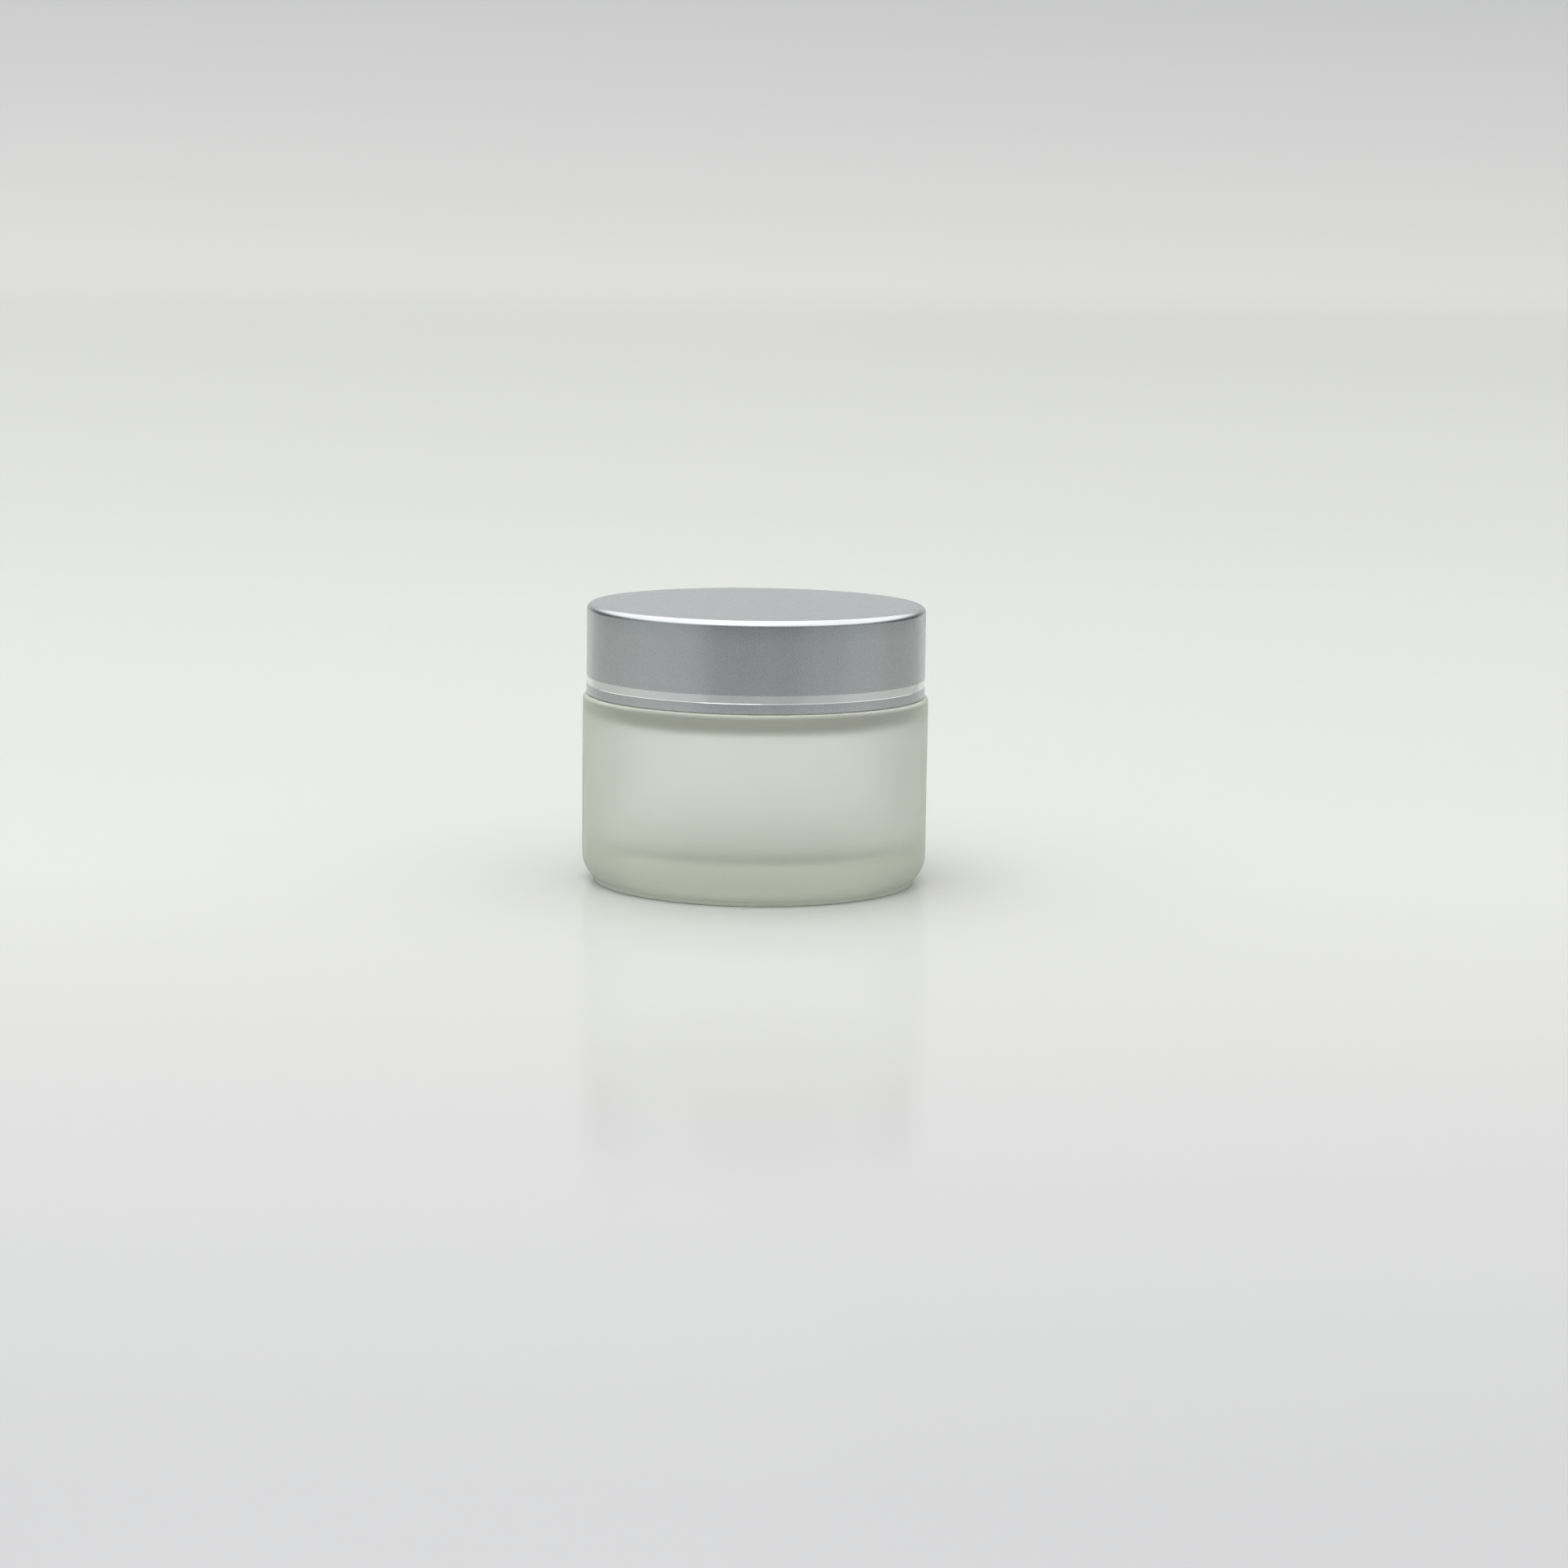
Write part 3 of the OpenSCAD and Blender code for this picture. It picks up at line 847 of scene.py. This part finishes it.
makeGlassBody(glassBody)
makeSealingDisc(sealingDisc)
makeFoamLiner(foamLiner)
makeInnerCap(innerCap)
makeAdhesiveDabs(adhesiveDabs)
makeAluminiumShell(aluminiumShell)
print("pieces made")


# Studio. Metres and degrees here, with brightness in the renderer's own units.

studio = {
    "floorRadius": 4.0,
    "floorSteps": 128,
    "sheetDrop": 0.00005,     # under the jar's foot, so that the two never share a plane
    "floorDrop": 0.001,       # under the sheet that the jar stands on
    "paint": "b3b4b1",        # round the jar
    # Painted shade: the grey that the board darkens to in front of the jar and up the sweep
    "paintedShade": "a2a2a3",
    "shadeFront": 0.32,       # how far in front of the jar the painted shade has reached its full grey
    "shadeHeight": 0.26,      # and how far up the sweep
    "paintRoughness": 0.9,
    "polish": 0.6,            # how much of the floor's clear polish there is
    "polishRoughness": 0.12,
    "polishSpread": 0.02,
    "polishPatches": 3.0,     # to a metre
    "sheetFront": 1.6,        # how far the sheet reaches in front of the jar
    "sheetSteps": 7,
    "sweepStart": 0.5,        # behind the jar
    "sweepRadius": 0.6,
    "sweepHeight": 0.65,
    "sweepHalfWidth": 0.55,
    "sweepSteps": 48,
    "acrossSteps": 8,
    "softboxWidth": 0.8,
    "softboxLength": 2.0,     # front to back
    "softboxForward": 0.4,    # how far its middle is in front of the jar
    "softboxLeft": 0.32,
    "softboxHeight": 1.6,
    "softboxPower": 12.0,
    "overhead": 1.9,
    "overheadFrom": 0.25,     # where the overhead light starts, as the height of a unit direction
    "overheadFull": 0.5,
    # The room round the jar: degrees from the front, to the right, and colour
    "room": [(-180, "e7e9e7"), (-150, "787e80"), (-122, "404446"), (-100, "767e80"), (-80, "a2acac"),
             (-48, "acaeac"), (-36, "a4a4a0"), (-31, "303230"), (-14, "1c1e1c"), (0, "2c2c2a"),
             (7, "4c4844"), (15, "1c1e1c"), (30, "303230"), (40, "8a8c8c"), (50, "767a7a"),
             (66, "a0aaaa"), (78, "989e9e"), (104, "5a5e60"), (124, "3c4042"), (150, "6c7070"),
             (180, "e7e9e7")],
    "backdrop": "cccdcb",
}


# Makes a stage object of a grid of points in metres, rows by columns, facing up. A closed one joins its
# last column to its first.
def makeStage(name, grid, material, closed):
    rows, columns = grid.shape[:2]
    index = np.arange(rows * columns).reshape(rows, columns)
    if closed:
        index = np.concatenate([index, index[:, :1]], axis=1)
    quads = np.stack([index[:-1, :-1], index[1:, :-1], index[1:, 1:], index[:-1, 1:]], -1)
    mesh = bpy.data.meshes.new(name)
    mesh.from_pydata(grid.reshape(-1, 3).tolist(), [], quads.reshape(-1, 4).tolist())
    mesh.shade_smooth()
    mesh.materials.append(material)
    made = bpy.data.objects.new(name, mesh)
    bpy.context.scene.collection.objects.link(made)


# Painted board with a clear polish that reflects the jar weakly. Painted shade turns it a little greyer in
# front of the jar and up the sweep.
def studioFloorMaterial(settings):
    material, tree, output, place = startMaterial("paintedBoardClearPolish")
    tone = addNode(tree, "ShaderNodeTexNoise", {"Scale": settings["polishPatches"], "Detail": 2.0},
                   {"Vector": place})
    rough = addNode(tree, "ShaderNodeMapRange",
                    {"To Min": settings["polishRoughness"] - settings["polishSpread"],
                     "To Max": settings["polishRoughness"] + settings["polishSpread"]},
                    {"Value": tone.outputs["Fac"]})
    axes = addNode(tree, "ShaderNodeSeparateXYZ", links={0: place})
    front = addNode(tree, "ShaderNodeMapRange", {"From Min": 0.0, "From Max": -settings["shadeFront"]},
                    {"Value": axes.outputs["Y"]})
    height = addNode(tree, "ShaderNodeMapRange", {"From Min": 0.0, "From Max": settings["shadeHeight"]},
                     {"Value": axes.outputs["Z"]})
    # Painted shade: 0 round the jar, rising to 1 in front of it and up the sweep
    far = addNode(tree, "ShaderNodeMath", links={0: front.outputs[0], 1: height.outputs[0]},
                  operation="MAXIMUM")
    colour = addNode(tree, "ShaderNodeMix",
                     {6: linearColour(settings["paint"]), 7: linearColour(settings["paintedShade"])},
                     {0: far.outputs[0]}, data_type="RGBA")
    paint = addNode(tree, "ShaderNodeBsdfPrincipled",
                    {"Roughness": settings["paintRoughness"], "Specular IOR Level": 0.0,
                     "Coat Weight": settings["polish"]},
                    {"Base Color": colour.outputs[2], "Coat Roughness": rough.outputs["Result"]})
    tree.links.new(paint.outputs[0], output.inputs["Surface"])
    return material


# The floor is flat, and the jar stands on a sheet that lies over it. The sheet climbs behind the jar:
# after an angle a of its arc it is sweepStart + sweepRadius sin a behind the jar and
# sweepRadius (1 - cos a) high, and then it stands upright.
def makeFloorAndSweep(settings):
    paint = studioFloorMaterial(settings)
    around = turnAngles(settings["floorSteps"])
    rings = np.array([0.001, 0.3, 1])[:, None] * settings["floorRadius"]
    disc = np.stack([rings * np.cos(around), rings * np.sin(around),
                     0 * rings * around - settings["floorDrop"]], -1)
    makeStage("studioFloor", disc, paint, closed=True)
    arc = np.linspace(0, math.pi / 2, settings["sweepSteps"] + 1)
    back = settings["sweepStart"] + settings["sweepRadius"] * np.sin(arc)
    up = settings["sweepRadius"] * (1 - np.cos(arc))
    level = np.linspace(-settings["sheetFront"], settings["sweepStart"], settings["sheetSteps"],
                        endpoint=False)
    back = np.concatenate([level, back, back[-1:]])
    up = np.concatenate([0 * level, up, [settings["sweepHeight"]]]) - settings["sheetDrop"]
    across = np.linspace(1, -1, settings["acrossSteps"] + 1) * settings["sweepHalfWidth"]
    strip = np.stack(np.broadcast_arrays(across, back[:, None], up[:, None]), -1)
    makeStage("studioSweep", strip, paint, closed=False)


# The room's light by direction: colours round the horizon, blended into the overhead light with height
def makeRoomLight(settings):
    world = bpy.data.worlds.new("studioRoom")
    bpy.context.scene.world = world
    world.use_nodes = True
    tree = world.node_tree
    tree.nodes.clear()
    direction = addNode(tree, "ShaderNodeTexCoord").outputs["Generated"]
    axes = addNode(tree, "ShaderNodeSeparateXYZ", links={0: direction})
    front = addNode(tree, "ShaderNodeMath", {1: -1.0}, {0: axes.outputs["Y"]}, operation="MULTIPLY")
    around = addNode(tree, "ShaderNodeMath", links={0: axes.outputs["X"], 1: front.outputs[0]},
                     operation="ARCTAN2")
    share = addNode(tree, "ShaderNodeMapRange", {"From Min": -math.pi, "From Max": math.pi},
                    {"Value": around.outputs[0]})
    ramp = addNode(tree, "ShaderNodeValToRGB", links={0: share.outputs["Result"]})
    stops = ramp.color_ramp.elements
    while len(stops) < len(settings["room"]):
        stops.new(1.0)
    for stop, (degrees, hexCode) in zip(stops, settings["room"]):
        stop.position = 0.5 + degrees / 360
        stop.color = linearColour(hexCode)
    upward = addNode(tree, "ShaderNodeMapRange",
                     {"From Min": settings["overheadFrom"], "From Max": settings["overheadFull"]},
                     {"Value": axes.outputs["Z"]}, interpolation_type="SMOOTHSTEP")
    room = addNode(tree, "ShaderNodeMix", {7: [settings["overhead"]] * 3 + [1.0]},
                   {0: upward.outputs["Result"], 6: ramp.outputs["Color"]}, data_type="RGBA")
    lit = addNode(tree, "ShaderNodeBackground", links={"Color": room.outputs[2]})
    plain = addNode(tree, "ShaderNodeBackground", {"Color": linearColour(settings["backdrop"])})
    seen = addNode(tree, "ShaderNodeLightPath").outputs["Is Camera Ray"]
    both = addNode(tree, "ShaderNodeMixShader", links={0: seen, 1: lit.outputs[0], 2: plain.outputs[0]})
    output = addNode(tree, "ShaderNodeOutputWorld")
    tree.links.new(both.outputs[0], output.inputs["Surface"])


def makeSoftbox(settings):
    light = bpy.data.lights.new("overheadSoftbox", "AREA")
    light.shape = "RECTANGLE"
    light.size, light.size_y = settings["softboxWidth"], settings["softboxLength"]
    light.energy = settings["softboxPower"]
    softbox = bpy.data.objects.new("overheadSoftbox", light)
    softbox.location = (-settings["softboxLeft"], -settings["softboxForward"], settings["softboxHeight"])
    bpy.context.scene.collection.objects.link(softbox)


makeFloorAndSweep(studio)
makeRoomLight(studio)
makeSoftbox(studio)
bpy.context.scene.view_settings.view_transform = "Standard"
print("studio lit")


# Metres and degrees, with the lens and the sensor in millimetres
camera = {"back": 0.640, "height": 0.11259, "down": 8.524, "right": 0.461, "roll": 0.792,
          "lens": 85.2, "sensor": 36.0, "near": 0.01, "far": 20.0}


# Looks along +Y from the front, turned down, then rolled. The matrix's columns are right, up and back.
def makeCamera(settings):
    down, turn, roll = (math.radians(settings[key]) for key in ("down", "right", "roll"))
    right = np.array([math.cos(turn), -math.sin(turn), 0])
    up = np.array([math.sin(turn) * math.sin(down), math.cos(turn) * math.sin(down), math.cos(down)])
    forward = np.array([math.sin(turn) * math.cos(down), math.cos(turn) * math.cos(down), -math.sin(down)])
    rolledRight = math.cos(roll) * right + math.sin(roll) * up
    rolledUp = math.cos(roll) * up - math.sin(roll) * right
    lens = bpy.data.cameras.new("studioCamera")
    lens.lens = settings["lens"]
    lens.sensor_width = settings["sensor"]
    lens.clip_start, lens.clip_end = settings["near"], settings["far"]
    holder = bpy.data.objects.new("studioCamera", lens)
    columns = np.stack([rolledRight, rolledUp, -forward, [0, -settings["back"], settings["height"]]], 1)
    holder.matrix_world = Matrix(columns.tolist() + [[0, 0, 0, 1]])
    bpy.context.scene.collection.objects.link(holder)
    bpy.context.scene.camera = holder


makeCamera(camera)
print("camera placed")
